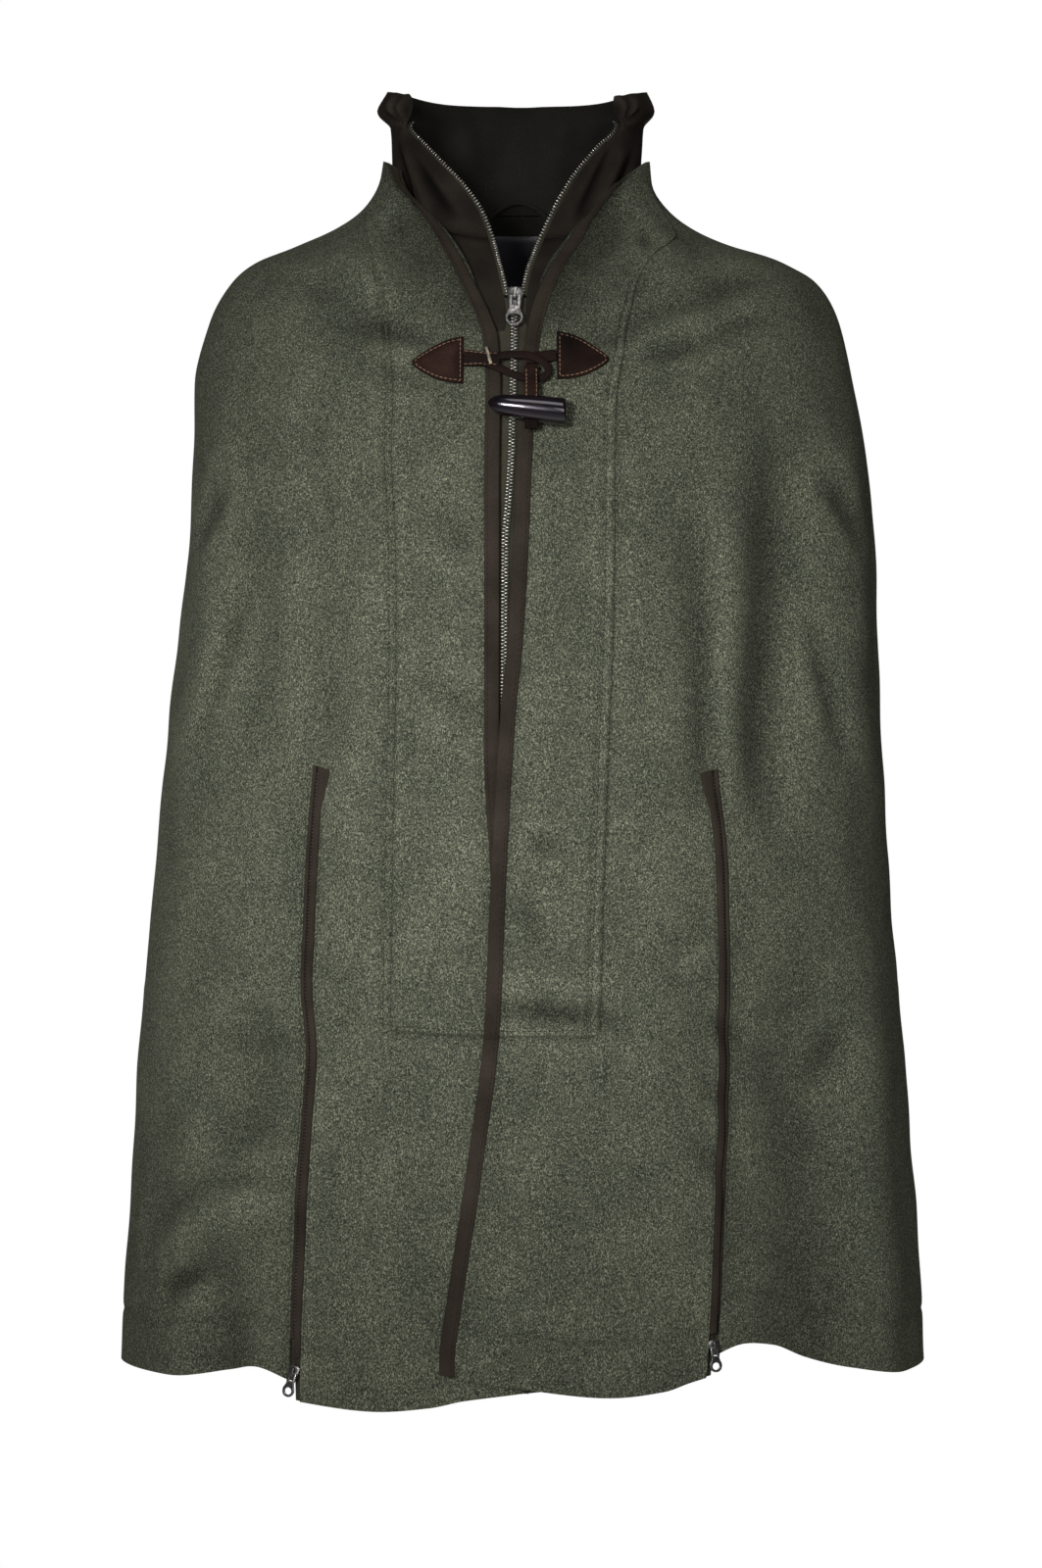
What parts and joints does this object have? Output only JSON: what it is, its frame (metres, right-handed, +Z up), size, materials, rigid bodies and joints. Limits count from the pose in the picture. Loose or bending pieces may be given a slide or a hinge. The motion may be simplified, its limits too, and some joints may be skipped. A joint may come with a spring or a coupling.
{
  "type": "loden cape",
  "caption": "Hip-length wool cape with a funnel collar, long front zip, horn toggle and zipped arm slits, shown open and hanging as worn.",
  "frame": {"origin": "middle of the wearer's neck base, level with the top of the shoulders", "axes": "+X to the wearer's left, +Y to the wearer's back, +Z up"},
  "size_m": [0.531, 0.3334, 0.8532],
  "materials": {
    "loden_wool": "felted loden, matt",
    "brown_microfibre": "soft suede-like",
    "olive_zip_tape": "woven tape",
    "black_satin": "satin",
    "brown_leather": "satin",
    "dark_horn": "polished horn",
    "old_brass": "dull"
  },
  "bodies": {
    "cape": {"back": "loden_wool", "back_lining": "black_satin", "binding_left": "brown_microfibre", "binding_right": "brown_microfibre", "collar_back": "loden_wool", "collar_inner": "brown_microfibre", "facing_left": "brown_microfibre", "facing_right": "brown_microfibre", "front_left": "loden_wool", "front_right": "loden_wool", "hanger_loop": "brown_microfibre", "keeper": "old_brass", "neck_facing": "brown_microfibre", "patch_left": "brown_leather", "patch_right": "brown_leather", "slit_left_slider": "old_brass", "slit_right_slider": "old_brass", "slit_tape_left": "olive_zip_tape", "slit_tape_right": "olive_zip_tape", "slit_welt_back_left": "brown_microfibre", "slit_welt_back_right": "brown_microfibre", "slit_welt_front_left": "brown_microfibre", "slit_welt_front_right": "brown_microfibre", "strap_left": "brown_leather", "strap_right": "brown_leather", "toggle_horn": "dark_horn", "toggle_loop": "brown_leather", "toggle_tab": "brown_leather", "zip_chain": "olive_zip_tape", "zip_slider": "old_brass", "zip_tape_left": "olive_zip_tape", "zip_tape_right": "olive_zip_tape"},
    "zip_pull": {"zip_pull": "old_brass"},
    "slit_right_pull": {"slit_right_pull": "old_brass"},
    "slit_left_pull": {"slit_left_pull": "old_brass"}
  },
  "joints": [
    {"name": "zip_pull_swing", "type": "hinge", "parent": "cape", "child": "zip_pull", "pos_m": [-0.00392, -0.09695, -0.05505], "axis": [-0.9995, 0.0202, 0.0243], "range_deg": [0, 150]},
    {"name": "slit_right_pull_swing", "type": "hinge", "parent": "cape", "child": "slit_right_pull", "pos_m": [-0.14356, -0.13479, -0.73786], "axis": [-0.8963, 0.3693, 0.2454], "range_deg": [0, 110]},
    {"name": "slit_left_pull_swing", "type": "hinge", "parent": "cape", "child": "slit_left_pull", "pos_m": [0.12127, -0.14461, -0.72037], "axis": [-0.9536, -0.2959, -0.0558], "range_deg": [0, 110]}
  ]
}
